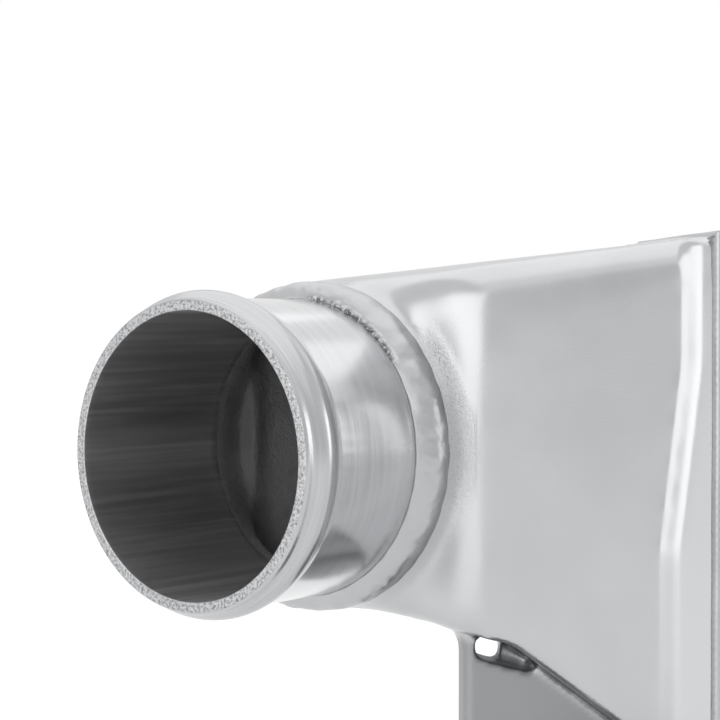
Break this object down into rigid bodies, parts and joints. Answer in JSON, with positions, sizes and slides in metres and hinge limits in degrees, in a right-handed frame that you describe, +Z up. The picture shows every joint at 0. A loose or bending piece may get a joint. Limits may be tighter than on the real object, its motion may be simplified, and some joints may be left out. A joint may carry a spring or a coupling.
{
  "type": "intercooler",
  "caption": "Air-to-air intercooler: a brazed tube-and-fin core between two cast aluminium end tanks, each with an angled welded spout and a bolted foot.",
  "frame": {"origin": "middle of the four foot bolts, on the plane of the foot pads' undersides", "axes": "+X along the core, +Z up, -Y to the side that the spouts point to"},
  "size_m": [0.7996, 0.1046, 0.1501],
  "materials": {
    "cast_aluminium": "as-cast, sanded on the flats",
    "spout_tube": "brushed",
    "weld_bead": "rippled weld",
    "tube_sheet": "mill finish",
    "fin_sheet": "mill finish",
    "bar_stock": "mill finish",
    "side_plate": "mill finish"
  },
  "bodies": {
    "root": {"charge_tube_1": "tube_sheet", "charge_tube_2": "tube_sheet", "charge_tube_3": "tube_sheet", "charge_tube_4": "tube_sheet", "charge_tube_5": "tube_sheet", "charge_tube_6": "tube_sheet", "charge_tube_7": "tube_sheet", "closing_bar_left_1": "bar_stock", "closing_bar_left_2": "bar_stock", "closing_bar_left_3": "bar_stock", "closing_bar_left_4": "bar_stock", "closing_bar_left_5": "bar_stock", "closing_bar_left_6": "bar_stock", "closing_bar_left_7": "bar_stock", "closing_bar_left_8": "bar_stock", "closing_bar_right_1": "bar_stock", "closing_bar_right_2": "bar_stock", "closing_bar_right_3": "bar_stock", "closing_bar_right_4": "bar_stock", "closing_bar_right_5": "bar_stock", "closing_bar_right_6": "bar_stock", "closing_bar_right_7": "bar_stock", "closing_bar_right_8": "bar_stock", "cooling_fin_1": "fin_sheet", "cooling_fin_2": "fin_sheet", "cooling_fin_3": "fin_sheet", "cooling_fin_4": "fin_sheet", "cooling_fin_5": "fin_sheet", "cooling_fin_6": "fin_sheet", "cooling_fin_7": "fin_sheet", "cooling_fin_8": "fin_sheet", "end_tank_left": "cast_aluminium", "end_tank_right": "cast_aluminium", "seam_weld_left": "weld_bead", "seam_weld_right": "weld_bead", "side_plate_lower": "side_plate", "side_plate_upper": "side_plate", "spout_left": "spout_tube", "spout_right": "spout_tube", "spout_weld_left": "weld_bead", "spout_weld_right": "weld_bead", "tube_fin_1": "fin_sheet", "tube_fin_2": "fin_sheet", "tube_fin_3": "fin_sheet", "tube_fin_4": "fin_sheet", "tube_fin_5": "fin_sheet", "tube_fin_6": "fin_sheet", "tube_fin_7": "fin_sheet"}
  },
  "joints": []
}
